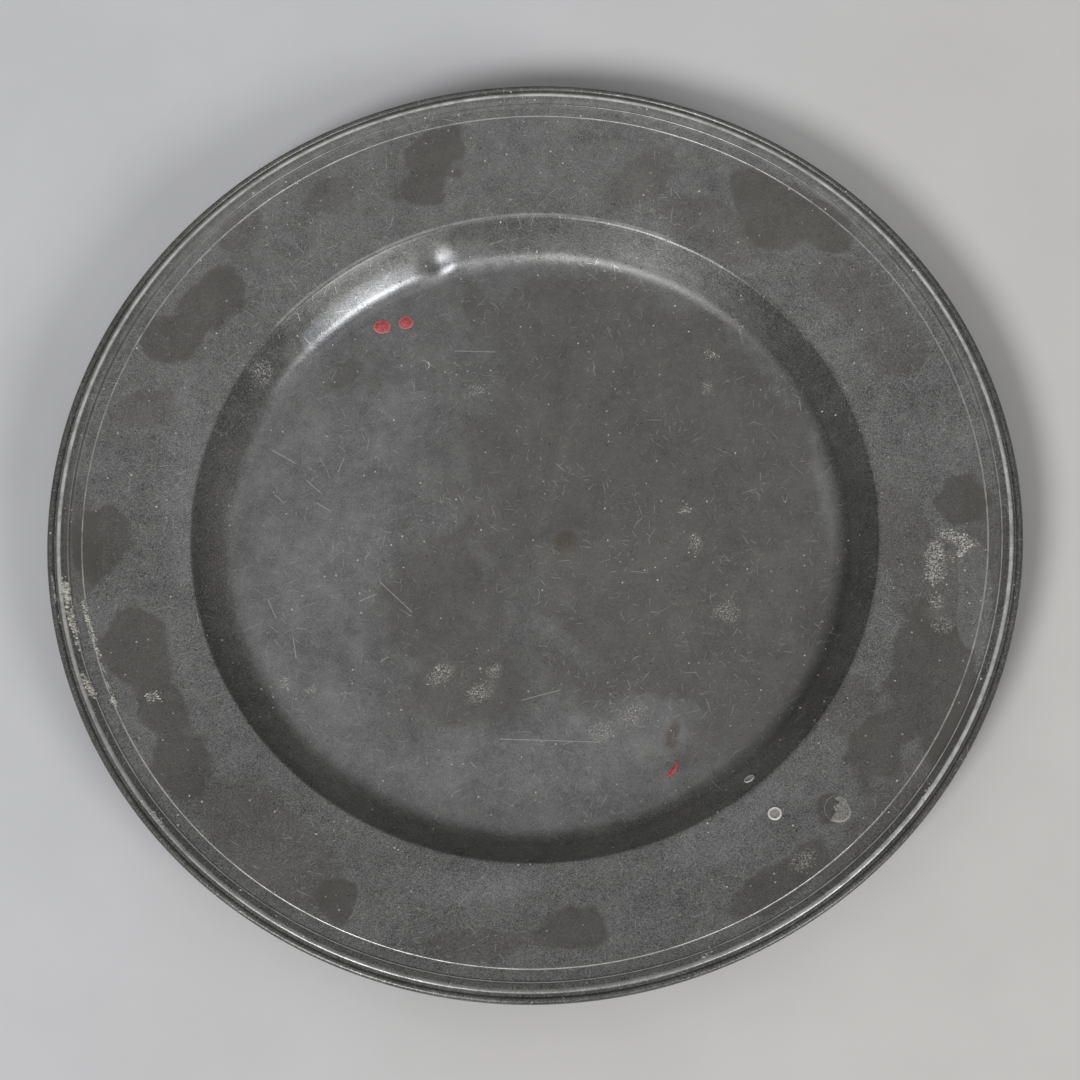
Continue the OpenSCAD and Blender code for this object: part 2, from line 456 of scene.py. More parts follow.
# The blister on the rim: pixel of its middle, and its crust and half ring round that
BLISTER_AT = (841, 809)
CRUST = [
    (-3.1, 1.3), (-1.3, 3.5), (-2.2, 5.3), (0.4, 6.2), (2.7, 4.4), (3.5, 1.3), (4.4, -1.8),
    (3.1, -4.4), (0.9, -5.8), (-2.2, -5.8), (-4.9, -4.9), (-4.0, -2.7), (-2.2, -1.3),
]
CRUST_RINGS = [(1, -SINK), (0.96, 0.24), (0.86, 0.34), (0.6, 0.26), (0.3, 0.3)]
HALF_RING_AT = (-0.6, 0.4)
HALF_RING_R = 6.2
HALF_RING_FROM = 100
HALF_RING_TO = 250

# Colours of the metal, of its marks and of what lies on it
PEWTER = (0.167, 0.167, 0.165, 1)
STAIN = (0.107, 0.102, 0.093, 1)
# Pale haze, also laid on as painted sheen
HAZE_AND_SHEEN = (0.207, 0.207, 0.207, 1)
FILM = (0.177, 0.175, 0.171, 1)
SHADE = (0.141, 0.138, 0.13, 1)
BROWN = (0.085, 0.065, 0.049, 1)
# Oxide, also laid on as painted shade
OXIDE_AND_SHADE = (0.082, 0.081, 0.077, 1)
# A painted highlight on the foot
FOOT_HIGHLIGHT = (0.34, 0.34, 0.34, 1)
# Bare metal of scratches and worn edges, also laid on as painted highlight
BARE_AND_HIGHLIGHT = (0.7, 0.7, 0.69, 1)
POLISH = (0.24, 0.243, 0.251, 1)
# Dark lines in the moulding, and painted shade
DIRT_AND_SHADE = (0.036, 0.033, 0.029, 1)
DUST = (0.3, 0.292, 0.275, 1)
FROST = (0.32, 0.315, 0.305, 1)
SPECK = (0.44, 0.43, 0.4, 1)

# Colours of what has dried: its dark and light lumps, and its edge
Tones = namedtuple("Tones", "dark light edge")
RED_WAX = Tones((0.27, 0.05, 0.054, 1), (0.45, 0.085, 0.09, 1), (0.43, 0.15, 0.148, 1))
PALE_DROP = Tones((0.2, 0.197, 0.185, 1), (0.3, 0.295, 0.28, 1), (0.6, 0.59, 0.57, 1))
SHADED_DROP = Tones((0.26, 0.256, 0.245, 1), (0.36, 0.352, 0.337, 1), (0.52, 0.512, 0.496, 1))
LIME = Tones((0.2, 0.192, 0.172, 1), (0.52, 0.505, 0.46, 1), (0.34, 0.33, 0.3, 1))
BLISTER = Tones((0.11, 0.107, 0.098, 1), (0.27, 0.265, 0.25, 1), (0.27, 0.265, 0.25, 1))

# The floor from left to right, and the light from the horizon up to overhead
FLOOR_SIZE = 24
FLOOR_LEFT = (0.572, 0.575, 0.592, 1)
FLOOR_RIGHT = (0.567, 0.56, 0.545, 1)
SKY_LOW = (0.085, 0.085, 0.085, 1)
SKY_HIGH = (0.47, 0.47, 0.47, 1)


def deselect_all():
    if bpy.context.object and bpy.context.object.mode != "OBJECT":
        bpy.ops.object.mode_set(mode="OBJECT")
    bpy.ops.object.select_all(action="DESELECT")


class Value:
    """One socket of a node tree. Arithmetic on it adds Math nodes, and node() adds any other kind."""

    def __init__(self, tree, socket):
        self.tree = tree
        self.socket = socket

    def node(self, kind, inputs, output=0, **settings):
        made = self.tree.nodes.new(kind)
        for name, setting in settings.items():
            setattr(made, name, setting)
        for key, value in inputs.items():
            feed(self.tree, made.inputs[key], value)
        return Value(self.tree, made.outputs[output])

    def also(self, output):
        """Another output of the node that this socket belongs to."""
        return Value(self.tree, self.socket.node.outputs[output])

    def math(self, operation, *values):
        return self.node("ShaderNodeMath", dict(enumerate(values)), operation=operation)

    def __add__(self, other):
        return self.math("ADD", self, other)

    def __radd__(self, other):
        return self.math("ADD", other, self)

    def __sub__(self, other):
        return self.math("SUBTRACT", self, other)

    def __rsub__(self, other):
        return self.math("SUBTRACT", other, self)

    def __mul__(self, other):
        return self.math("MULTIPLY", self, other)

    def __rmul__(self, other):
        return self.math("MULTIPLY", other, self)

    def __pow__(self, other):
        return self.math("POWER", self, other)

    def __abs__(self):
        return self.math("ABSOLUTE", self)

    def ramp(self, low, high):
        """Rises smoothly from 0 at low to 1 at high."""
        inputs = {0: self, 1: low, 2: high}
        return self.node("ShaderNodeMapRange", inputs, interpolation_type="SMOOTHSTEP")

    def fall(self, low, high):
        """Falls smoothly from 1 at low to 0 at high."""
        return 1 - self.ramp(low, high)

    def band(self, low, full, fading, high):
        """Rises from 0 to 1 between the first two, and falls back to 0 between the last two."""
        return self.ramp(low, full) * self.fall(fading, high)

    def about(self, middle, full, end):
        """1 as far as full from a middle, and 0 from end on."""
        return abs(self - middle).fall(full, end)

    def blend(self, colour, other):
        """The first colour where this is 0 and the other where it is 1."""
        return self.node("ShaderNodeMix", {0: self, 6: colour, 7: other}, 2, data_type="RGBA")

    def vector(self, operation, other):
        return self.node("ShaderNodeVectorMath", {0: self, 1: other}, operation=operation)

    def length(self):
        return self.node("ShaderNodeVectorMath", {0: self}, 1, operation="LENGTH")

    def part(self, axis):
        return self.node("ShaderNodeSeparateXYZ", {0: self}, axis)

    def noise(self, size, detail=2, roughness=0.5):
        """Soft noise, about 0.5 on the mean, with lumps of this size."""
        inputs = {"Vector": self, "Scale": 1 / size, "Detail": detail, "Roughness": roughness}
        return self.node("ShaderNodeTexNoise", inputs)


def feed(tree, socket, value):
    if isinstance(value, Value):
        tree.links.new(value.socket, socket)
    else:
        socket.default_value = value


def new_material(name):
    """A material, the sockets of its shader, and its object coordinates in millimetres."""
    material = bpy.data.materials.new(name)
    material.use_nodes = True
    tree = material.node_tree
    place = Value(tree, tree.nodes.new("ShaderNodeTexCoord").outputs["Object"])
    in_mm = place.vector("MULTIPLY", (1 / MM, 1 / MM, 1 / MM))
    return material, tree.nodes["Principled BSDF"].inputs, in_mm


def attribute(place, name):
    return place.node("ShaderNodeAttribute", {}, 2, attribute_name=name)


def layered(colour, layers):
    """A colour under layers, each given as where it lies and its own colour."""
    for where, coat in layers:
        colour = where.blend(colour, coat)
    return colour


def toned(colour, tone):
    """A colour made darker or lighter by a number."""
    grey = tone.node("ShaderNodeCombineColor", {0: tone, 1: tone, 2: tone})
    inputs = {0: 1.0, 6: colour, 7: grey}
    return tone.node("ShaderNodeMix", inputs, 2, data_type="RGBA", blend_type="MULTIPLY")


def bump(height):
    """The normal of relief of this height, in millimetres."""
    return height.node("ShaderNodeBump", {"Strength": 1.0, "Distance": MM, "Height": height})


def cells(place, size, seed):
    """Random cells across the XY plane: offset from the cell's middle, and three numbers of its own."""
    moved = place.vector("ADD", (seed * 37.0, seed * 91.0, 0))
    inputs = {"Vector": moved, "Scale": 1 / size}
    middle = place.node("ShaderNodeTexVoronoi", inputs, 2, voronoi_dimensions="2D")
    chance = middle.also(1)
    offset = moved.vector("SUBTRACT", middle).vector("MULTIPLY", (1, 1, 0))
    return offset, [chance.part(axis) for axis in range(3)]


def scratches(place, cell, width, seed):
    """Short straight scratches, one to a cell, each with its own direction and length."""
    offset, (turn, length, pick) = cells(place, cell, seed)
    inputs = {"Vector": offset, "Angle": turn * (2 * math.pi)}
    turned = place.node("ShaderNodeVectorRotate", inputs, rotation_type="Z_AXIS")
    beside = abs(turned.part(1)).fall(width * 0.3, width)
    reach = (length * 0.4 + 0.15) * cell
    within = (abs(turned.part(0)) - reach).fall(-0.3 * cell, 0)
    return beside * within * pick.ramp(0.2, 0.9)


def specks(place, cell, size, share, seed):
    """Small uneven dots in a share of the cells, each of its own size."""
    offset, (big, pick, _) = cells(place, cell, seed)
    uneven = offset.length() + (place.noise(size * 0.8) - 0.5) * size
    radius = (big**3 * 0.8 + 0.2) * size
    return (uneven - radius).fall(-0.25 * size, 0.05 * size) * pick.fall(share - 0.01, share)


def score(place, u, v, end_u, end_v):
    """A long scratch between two pixels of the photograph."""
    start = on_charger(u, v)
    reach = on_charger(end_u, end_v) - start
    ahead = reach / reach.length_squared
    offset = place.vector("SUBTRACT", start)
    share = offset.node("ShaderNodeVectorMath", {0: offset, 1: ahead}, 1, operation="DOT_PRODUCT")
    share = share.math("MINIMUM", share.math("MAXIMUM", share, 0), 1)
    nearest = share.node("ShaderNodeVectorMath", {0: reach, "Scale": share}, operation="SCALE")
    return offset.vector("SUBTRACT", nearest).length().fall(0.08, 0.3)


def fine_marks(place, stain):
    """Short scratches, fewer on stains, and pale dots and pits, scattered over all of the metal."""
    lines = scratches(place, cell=9, width=0.2, seed=1)
    lines = lines + scratches(place, cell=6, width=0.18, seed=2)
    lines = lines + scratches(place, cell=4, width=0.18, seed=3)
    lines = lines * place.noise(30, 3).ramp(0.34, 0.6) * (1 - stain * 0.75)
    dots = specks(place, cell=5, size=0.5, share=0.5, seed=4) * place.noise(22, 2).ramp(0.36, 0.54)
    pits = specks(place, cell=3.2, size=0.5, share=0.3, seed=5)
    return lines, dots, pits


def round_place(place):
    """Distance from the axis of turning, and a place that draws any pattern on it out along the radius."""
    radius = place.vector("MULTIPLY", (1, 1, 0)).length()
    angle = radius.math("ARCTAN2", place.part(1), place.part(0))
    drawn = radius.node("ShaderNodeCombineXYZ", {0: angle * WELL_R, 1: radius * 0.12})
    return radius, drawn


def worn_rings(place, radius):
    """Where turned edges are worn bright, with painted highlights stronger on one side; where the reed is
    darkened by oxide and the bead's face by painted shade; and where a thin dark line and painted shade
    lie.
    """
    crest = on_rim((CREST_CENTRE[0], BEAD_H))[0]
    arris = on_rim(ARRIS)[0]
    line = on_rim(BAND_START)[0] - LINE_R
    groove = on_rim((BEAD_END + GROOVE_W / 2, 0))[0]
    x = place.part(0)
    y = place.part(1)
    far = (y + x * 0.4).ramp(-220, -40)
    near = y.fall(-80, 100)
    rub_and_highlight = attribute(place, "rub_and_highlight").ramp(0.2, 0.7)
    patchy = place.noise(7, 4, 0.65).ramp(0.3, 0.65) * 0.6 + 0.4

    # Crest worn bright, with a painted highlight that is stronger away from the near side
    bright = radius.about(crest + 0.2, 0.6, 1.05) * (far * 0.74 + 0.26)
    # Arris: a painted highlight, a thin line on the near side and a broad soft band elsewhere
    bright = bright + radius.about(arris, 0.1, 0.4) * near * 0.9
    bright = bright + radius.about(arris, 0.3, 2.4) * (1 - near) * 0.16
    # Scribed line worn bright, with a little painted highlight on the near side
    bright = bright + radius.about(line, 0.15, 0.5) * (near * 0.15 + 0.55)
    # Far edge of the booge worn bright, with a painted highlight
    bright = bright + radius.about(EDGE_R, 0.2, 0.9) * rub_and_highlight * 0.36
    face = radius.band(arris + 0.2, arris + 1.2, crest - 1.2, crest - 0.7)
    # The reed darkened by oxide, and the bead's face by painted shade, darkest to left and right and on the
    # near side
    dull_and_shaded = radius.ramp(groove + 0.1, groove + 0.5)
    dull_and_shaded = dull_and_shaded + face * (abs(x).ramp(40, 180) * 0.8 + near * 0.4)
    # A thin dark line just outside the arris, and painted shade over the cove's riser away from the near
    # side, dimming its highlight
    dirt_and_shade = radius.about(arris + 0.6, 0.15, 0.5) * 0.3
    dirt_and_shade = dirt_and_shade + radius.about(arris - 0.35, 0.3, 0.6) * (1 - near) * 0.75
    return bright * patchy, dull_and_shaded, dirt_and_shade


def booge_wear(place, radius, worn):
    """Where the booge is polished, where its foot gets a painted highlight, where it is darkened, partly
    tarnished and partly painted shade, and where its foot alone gets painted shade.
    """
    x = place.part(0)
    y = place.part(1)
    right = x.ramp(-20, 60)
    foot = radius.band(WELL_R, WELL_R + 4, WELL_R + 7, WELL_R + 10)
    shoulder = radius.about(EDGE_R - 0.4, 0.8, 1.6)
    polish = worn * radius.band(WELL_R + 3, WELL_R + 5, EDGE_R - 12, EDGE_R - 6)
    # Painted highlight: the foot brightened on the far left
    foot_highlight = foot * (1 - right) * (1 - polish) * y.ramp(0, 60)
    # Painted shade: the top of the booge darkened on the far side, partly tarnished metal, and its flanks
    # darkened to left and right
    tarnish_and_shade = radius.band(EDGE_R - 11, EDGE_R - 4, EDGE_R - 1.2, EDGE_R) * y.ramp(40, 110)
    flank = radius.band(WELL_R + 3, WELL_R + 8, EDGE_R - 1, EDGE_R) * abs(x).ramp(70, 125)
    # Painted shade: the foot and the shoulder darkened on the right, over their highlights
    dark_foot = foot * right
    dark = dark_foot * 0.6 + shoulder * right * 0.3 + tarnish_and_shade * (worn * 0.45 + 0.35) + flank * 0.58
    return polish, foot_highlight, dark, dark_foot


def marked(place, name, ragged, low, high):
    """Where a stored mark lies, with its field made ragged and then narrowed to an edge."""
    return (attribute(place, name) + ragged).ramp(low, high)


def pewter_material():
    """Dull pewter with its stains and wear, the scratches, dirt, dust and lime on it, and painted sheen,
    shade and highlights.
    """
    material, shader, place = new_material("worn_pewter")
    tree = material.node_tree
    top = attribute(place, "topside")
    radius, drawn = round_place(place)
    ragged = place.noise(17, 6, 0.65) - 0.5
    contour = place.noise(15, 2, 0.45) - 0.5
    cloud = place.noise(38, 4, 0.6) - 0.5
    mottle = place.noise(11, 4, 0.6) - 0.5
    blotch = place.noise(4, 3, 0.6) - 0.5
    grain = place.noise(0.6, 2, 0.6) - 0.5
    brushed = drawn.noise(0.8, 3, 0.6) - 0.5
    fine = place.noise(0.7, 2, 0.6)

    stain = marked(place, "stain", contour * 1.1 + ragged * 0.3, 0.4, 0.58)
    shade = marked(place, "shade", contour * 0.5 + ragged * 0.6, 0.4, 0.62)
    # Pale hazy patches, partly painted sheen
    haze_and_sheen = marked(place, "haze_and_sheen", ragged * -1.1, 0.3, 0.8)
    film = marked(place, "film", ragged * 0.4, 0.47, 0.53)
    brown = marked(place, "brown", ragged * 1.7, 0.25, 0.85)
    worn = marked(place, "polish", ragged * 0.3, 0.35, 0.7)
    lime = marked(place, "lime", ragged * 1.4, 0.35, 0.75)
    bloom = marked(place, "bloom", ragged * 1.4, 0.35, 0.8)
    dust = attribute(place, "dust") * radius.band(WELL_R + 1, WELL_R + 7, EDGE_R - 13, EDGE_R + 2)
    polish, foot_highlight, dark, dark_foot = booge_wear(place, radius, worn)
    bright, dull_and_shaded, dirt_and_shade = worn_rings(place, radius)
    lines, dots, pits = fine_marks(place, stain)
    scored = sum(score(place, *ends) for ends in SCORES)

    quiet = 1 - stain * 0.5 - shade * 0.3
    coarse = radius.ramp(WELL_R, EDGE_R) * (place.part(1).fall(60, 170) * 0.4 + 0.2) + 0.48
    inner_rim = radius.band(EDGE_R, EDGE_R + 1, EDGE_R + 8, EDGE_R + 26)
    frosted = place.noise(24, 3).ramp(0.4, 0.6) * 0.6 + inner_rim * 0.4 + 0.4
    frost = fine.ramp(0.54, 0.68) * frosted * quiet * coarse
    flecks = fine.ramp(0.55, 0.67) * dust
    scale = fine.ramp(0.48, 0.6) * (lime + bloom * 0.65)
    tone = 1 + cloud * 0.7 + (mottle * 0.7 + blotch * 0.5 + grain * coarse * 2.7) * quiet
    tone = (tone + polish * brushed * 0.9) * (1 - pits * 0.3)

    # Painted light among these layers: the hazy patches partly painted sheen, the oxide layers partly
    # painted shade, and the brightened foot a painted highlight
    metal_layers = [
        (shade, SHADE),
        (haze_and_sheen * 0.8, HAZE_AND_SHEEN),
        (stain * 0.8, STAIN),
        (film, FILM),
        (brown * 0.6, BROWN),
        (dull_and_shaded * top * 0.7, OXIDE_AND_SHADE),
        (dark, OXIDE_AND_SHADE),
        (foot_highlight * 0.5, FOOT_HIGHLIGHT),
        (dust * 0.25, DUST),
        (polish, POLISH),
    ]
    # Painted light among these layers: the dark rings partly painted shade, the bright rings partly painted
    # highlight
    fine_layers = [
        (frost * 0.55 + flecks * 0.7, FROST),
        (scale * 0.8, SPECK),
        (lines * 0.33 + scored * 0.38, BARE_AND_HIGHLIGHT),
        (dirt_and_shade * top, DIRT_AND_SHADE),
        (bright * top, BARE_AND_HIGHLIGHT),
        (dots, SPECK),
    ]
    colour = layered(toned(layered(PEWTER, metal_layers), tone), fine_layers)
    feed(tree, shader["Base Color"], colour)
    metal = 0.55 + polish * 0.39 + foot_highlight * 0.3 + bright * top * 0.14
    feed(tree, shader["Metallic"], metal - dust * 0.1 - flecks * 0.2 - scale * 0.4 - dots * 0.55)
    rough = 0.36 + mottle * 0.14 + grain * 0.2 + stain * 0.04
    feed(tree, shader["Roughness"], rough + dark_foot * 0.1 - lines * 0.06)
    relief = grain * 0.04 + mottle * 0.16 - lines * 0.015 - pits * 0.1 + scale * 0.05 + dots * 0.1
    feed(tree, shader["Normal"], bump(relief))
    return material


def dried_material(name, tones, roughness, lump, edge_from=0.78):
    """What has dried on the metal: mottled in lumps, with an edge from a share of its width outwards."""
    material, shader, place = new_material(name)
    tree = material.node_tree
    lumps = place.noise(lump, 4, 0.65)
    at_edge = (attribute(place, "share") + (lumps - 0.5) * 0.3).ramp(edge_from, edge_from + 0.12)
    colour = lumps.ramp(0.36, 0.64).blend(tones.dark, tones.light)
    feed(tree, shader["Base Color"], at_edge.blend(colour, tones.edge))
    feed(tree, shader["Roughness"], lumps * 0.4 + (roughness - 0.2))
    feed(tree, shader["Normal"], bump(lumps * (lump * 0.2)))
    return material


def spin_profile(name, points, steps):
    """Draws a profile by extruding one vertex along it, and spins it once round the Z axis."""
    deselect_all()
    bpy.ops.mesh.primitive_plane_add(size=MM)
    piece = bpy.context.object
    piece.name = name
    bpy.ops.object.mode_set(mode="EDIT")
    bpy.ops.mesh.select_all(action="SELECT")
    bpy.ops.mesh.merge(type="CENTER")
    bpy.ops.transform.translate(value=(points[0][0] * MM, 0, points[0][1] * MM))
    for a, b in zip(points, points[1:]):
        move = ((b[0] - a[0]) * MM, 0, (b[1] - a[1]) * MM)
        bpy.ops.mesh.extrude_region_move(TRANSFORM_OT_translate={"value": move})
    bpy.ops.mesh.select_all(action="SELECT")
    bpy.ops.mesh.spin(steps=steps, angle=2 * math.pi, center=(0, 0, 0), axis=(0, 0, 1))
    bpy.ops.mesh.select_all(action="SELECT")
    bpy.ops.mesh.remove_doubles(threshold=0.002 * MM)
    bpy.ops.mesh.normals_make_consistent(inside=False)
    bpy.ops.object.mode_set(mode="OBJECT")
    bpy.ops.object.shade_smooth_by_angle(angle=SMOOTH_ANGLE)
    return piece


def field(places, marks):
    """How deep each place lies in any of the marks: 1 in the middle of one, 0.5 at its edge."""
    outside = np.ones(len(places))
    for mark in marks:
        centre = on_charger(mark.u, mark.v)
        turn = math.radians(mark.turn)
        dx = places[:, 0] - centre.x
        dy = places[:, 1] - centre.y
        along = (dx * math.cos(turn) + dy * math.sin(turn)) / mark.along
        across = (dy * math.cos(turn) - dx * math.sin(turn)) / mark.across
        outside *= 1 - 0.5 ** (along**2 + across**2)
    return 1 - outside


def vertex_places(mesh):
    flat = np.empty(len(mesh.vertices) * 3)
    mesh.vertices.foreach_get("co", flat)
    return flat.reshape(-1, 3) / MM


def store_marks(mesh, places):
    """Stores which vertices are on the top, and where the marks lie on it, as attributes of the mesh."""
    heights = np.interp(np.hypot(places[:, 0], places[:, 1]), TOP_RADII, TOP_HEIGHTS)
    topside = (places[:, 2] > heights - WALL / 2).astype(float)
    clusters = [cluster for cluster in CLUSTERS if cluster.count > 1]
    groups = {
        "stain": STAINS,
        "shade": SHADES,
        "haze_and_sheen": HAZES_AND_SHEEN,
        "film": FILMS,
        "brown": BROWNS,
        "dust": DUSTS,
        "polish": POLISHES,
        "rub_and_highlight": RUBS_AND_HIGHLIGHTS,
        "lime": [cluster for cluster in clusters if cluster.size >= CRUST_FLAKE],
        "bloom": [cluster for cluster in clusters if cluster.size < CRUST_FLAKE],
    }
    fields = {name: field(places, marks) * topside for name, marks in groups.items()}
    fields["topside"] = topside
    for name, values in fields.items():
        mesh.attributes.new(name, "FLOAT", "POINT").data.foreach_set("value", values)
    return topside


def refine(mesh, centre, reach):
    """Divides the faces round a place finely, where the wall is knocked in."""
    bm = bmesh.new()
    bm.from_mesh(mesh)
    edges = [e for e in bm.edges if all((v.co / MM - centre).length < reach for v in e.verts)]
    bmesh.ops.subdivide_edges(bm, edges=edges, cuts=2, use_grid_fill=True)
    bm.to_mesh(mesh)
    bm.free()


def seat(x, y, level=True):
    """Frame on the top at x, y, its Z out of the metal. A level one keeps its X along the world's."""
    radius = math.hypot(x, y)
    step = 0.3
    rise = (top_height(radius + step) - top_height(radius - step)) / (2 * step)
    up = Vector((x / radius, y / radius, rise)).normalized()
    along = Vector((-y / radius, x / radius, 0))
    turn = Matrix((up, along, up.cross(along))).transposed()
    if level:
        turn = turn @ Matrix.Rotation(-math.atan2(y, x), 3, "Z")
    return Matrix.Translation((x, y, top_height(radius))) @ turn.to_4x4()


def pixel_seat(u, v, level=True):
    """Frame on the top at a pixel of the photograph."""
    place = on_charger(u, v)
    return seat(place.x, place.y, level)


def node_seat(node):
    """Frame on the top under the middle of a node."""
    low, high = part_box(node)
    return seat((low[0] + high[0]) / 2 / MM, (low[1] + high[1]) / 2 / MM)


def waves(places, length, start):
    """Soft waves of this length over the XY plane, between -1 and 1."""
    return np.array([noise.noise((x / length, y / length, start)) for x, y in places[:, :2]])


def warp(places, topside):
    """Moves the wall at the knock, and gives all of it slight waves. The base stays flat."""
    dent = pixel_seat(*DENT_AT, level=False)
    axes = np.array(dent.to_3x3())
    local = (places - np.array(dent.translation)) @ axes
    spread = (local[:, 1] / DENT_ACROSS) ** 2 + (local[:, 0] / DENT_UP) ** 2
    off_base = np.maximum(topside, np.clip(places[:, 2] / BASE_FADE, 0, 1))
    bulge = DENT_H * np.exp(-0.5 * spread) * off_base
    climb = np.clip((np.hypot(places[:, 0], places[:, 1]) - WELL_R) / BOOGE_W, 0, 1)
    share = np.maximum(climb, topside * WELL_WAVE_SHARE)
    moved = places + bulge[:, None] * axes[:, 2]
    moved[:, 2] += waves(places, WAVE_L, WAVE_START) * WAVE_H * share
    moved[:, 2] += waves(places, RIPPLE_L, RIPPLE_START) * RIPPLE_H * share
    return moved


def make_charger():
    charger = spin_profile("charger_body", TOP + UNDER, SPIN_STEPS)
    mesh = charger.data
    refine(mesh, on_charger(*DENT_AT), 4 * DENT_ACROSS)
    places = vertex_places(mesh)
    topside = store_marks(mesh, places)
    mesh.vertices.foreach_set("co", (warp(places, topside) * MM).ravel())
    mesh.update()
    mesh.materials.append(pewter_material())
    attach(charger, "root")
    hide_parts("charger")


class Dab:
    """A mesh of mounds and ridges that have dried on the metal, each on a frame, in millimetres."""

    def __init__(self):
        self.mesh = bmesh.new()
        self.share = self.mesh.verts.layers.float.new("share")

    def ring(self, places, share):
        made = [self.mesh.verts.new(Vector(p) * MM) for p in places]
        for vert in made:
            vert[self.share] = share
        return made

    def loft(self, rings):
        """Joins rings of as many vertices each into a closed skin."""
        self.mesh.faces.new(reversed(rings[0]))
        for low, high in zip(rings, rings[1:]):
            for i, vert in enumerate(low):
                self.mesh.faces.new((low[i - 1], vert, high[i], high[i - 1]))
        self.mesh.faces.new(rings[-1])

    def mound(self, at, outline, profile, lump=0.0):
        """A mound inside an outline: rings at shares of its width and at heights, made uneven by lump."""
        rings = []
        for share, height in profile:
            places = []
            for a, b in outline:
                x = a * share
                y = b * share
                z = height
                if height > 0:
                    z += lump * noise.noise((x * LUMPS_PER_MM, y * LUMPS_PER_MM, at.translation.x))
                places.append(at @ Vector((x, y, z)))
            rings.append(self.ring(places, share))
        self.loft(rings)

    def ridge(self, at, path, width, height):
        """A ridge along a path, each point of it with its own share of the width and the height."""
        rings = []
        for i, (x, y, share) in enumerate(path):
            before = path[max(i - 1, 0)]
            after = path[min(i + 1, len(path) - 1)]
            ahead = Vector(after[:2]) - Vector(before[:2])
            side = Vector((-ahead.y, ahead.x)).normalized() * (width / 2 * share)
            crown = height * share
            across = [(-1, -SINK), (-0.75, crown * 0.7), (0, crown), (0.75, crown * 0.7), (1, -SINK)]
            places = [at @ Vector((x + side.x * s, y + side.y * s, z)) for s, z in across]
            rings.append(self.ring(places, 0.5))
        self.loft(rings)

    def piece(self, name, material, slot, node=None):
        """Makes the object, which rides the charger and may stand for a node."""
        bmesh.ops.recalc_face_normals(self.mesh, faces=self.mesh.faces[:])
        mesh = bpy.data.meshes.new(name)
        self.mesh.to_mesh(mesh)
        self.mesh.free()
        mesh.shade_smooth()
        mesh.materials.append(material)
        made = bpy.data.objects.new(name, mesh)
        bpy.context.collection.objects.link(made)
        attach(made, "root")
        if node:
            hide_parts(node)


def blob(width, depth, uneven, seed, count=40):
    """Outline of an uneven oval, in millimetres."""
    points = []
    for i in range(count):
        angle = 2 * math.pi * i / count
        reach = 1 + uneven * noise.noise((math.cos(angle) * 1.5, math.sin(angle) * 1.5, seed))
        points.append((width / 2 * reach * math.cos(angle), depth / 2 * reach * math.sin(angle)))
    return points


def raised(shape, height):
    """A mound's profile: a foot that is let into the metal, and then a shape at its height."""
    return [(1, -SINK)] + [(share, part * height) for share, part in shape]


def make_wax():
    wax = dried_material("hard_red_wax", RED_WAX, roughness=0.5, lump=1.1)
    large = Dab()
    large_outline = blob(width=8.2, depth=6.6, uneven=0.1, seed=1.7)
    large.mound(node_seat("red_drop_large"), large_outline, raised(WAX_SHAPE, 0.9), lump=0.12)
    large.piece("wax_drop_large", wax, "red_wax", "red_drop_large")
    small = Dab()
    small_outline = blob(width=6.7, depth=6.4, uneven=0.1, seed=4.2)
    small.mound(node_seat("red_drop_small"), small_outline, raised(WAX_SHAPE, 0.8), lump=0.12)
    dot_outline = blob(width=1.1, depth=1.0, uneven=0.2, seed=8.1, count=12)
    small.mound(pixel_seat(*RED_DOT_AT), dot_outline, raised(WAX_SHAPE, 0.25))
    small.piece("wax_drop_small", wax, "red_wax", "red_drop_small")
    streak = Dab()
    streak.ridge(node_seat("red_streak"), STREAK, width=2.0, height=0.4)
    streak.ridge(node_seat("red_streak"), STREAK_BRANCH, width=0.8, height=0.25)
    streak.piece("wax_streak", wax, "red_wax", "red_streak")


def make_drops():
    pale = dried_material("pale_dried_drop", PALE_DROP, roughness=0.55, lump=0.9, edge_from=0.64)
    shaded = dried_material("pale_drop_in_shade", SHADED_DROP, roughness=0.55, lump=0.9)
    on_the_rim = Dab()
    rim_outline = blob(width=6.1, depth=6.0, uneven=0.05, seed=2.9)
    on_the_rim.mound(node_seat("pale_drop_rim"), rim_outline, raised(RING_SHAPE, 0.6), lump=0.06)
    on_the_rim.piece("ring_drop_rim", pale, "dried_drop", "pale_drop_rim")
    on_booge = Dab()
    booge_outline = blob(width=5.2, depth=4.6, uneven=0.08, seed=6.3)
    on_booge.mound(node_seat("pale_drop_booge"), booge_outline, raised(RING_SHAPE, 0.5), lump=0.06)
    on_booge.piece("ring_drop_booge", shaded, "dried_drop", "pale_drop_booge")


def make_lime():
    lime = dried_material("lime_scale", LIME, roughness=0.8, lump=2.2)
    picks = random.Random(11)
    flakes = Dab()
    for cluster in CLUSTERS:
        middle = on_charger(cluster.u, cluster.v)
        turn = Matrix.Rotation(math.radians(cluster.turn), 2)
        for _ in range(cluster.count):
            along = picks.gauss(0, 0.5) * cluster.along
            across = picks.gauss(0, 0.5) * cluster.across
            offset = turn @ Vector((along, across))
            size = cluster.size * (0.45 + picks.random() ** 2)
            depth = size * picks.uniform(0.6, 1)
            outline = blob(size, depth, uneven=0.7, seed=picks.uniform(0, 50), count=7)
            height = size * picks.uniform(0.12, 0.22)
            at = seat(middle.x + offset.x, middle.y + offset.y)
            flakes.mound(at, outline, raised(FLAKE_SHAPE, height))
    flakes.ridge(pixel_seat(*CRESCENT_AT), CRESCENT, width=0.95, height=0.3)
    flakes.piece("lime_flakes", lime, "dried_drop")


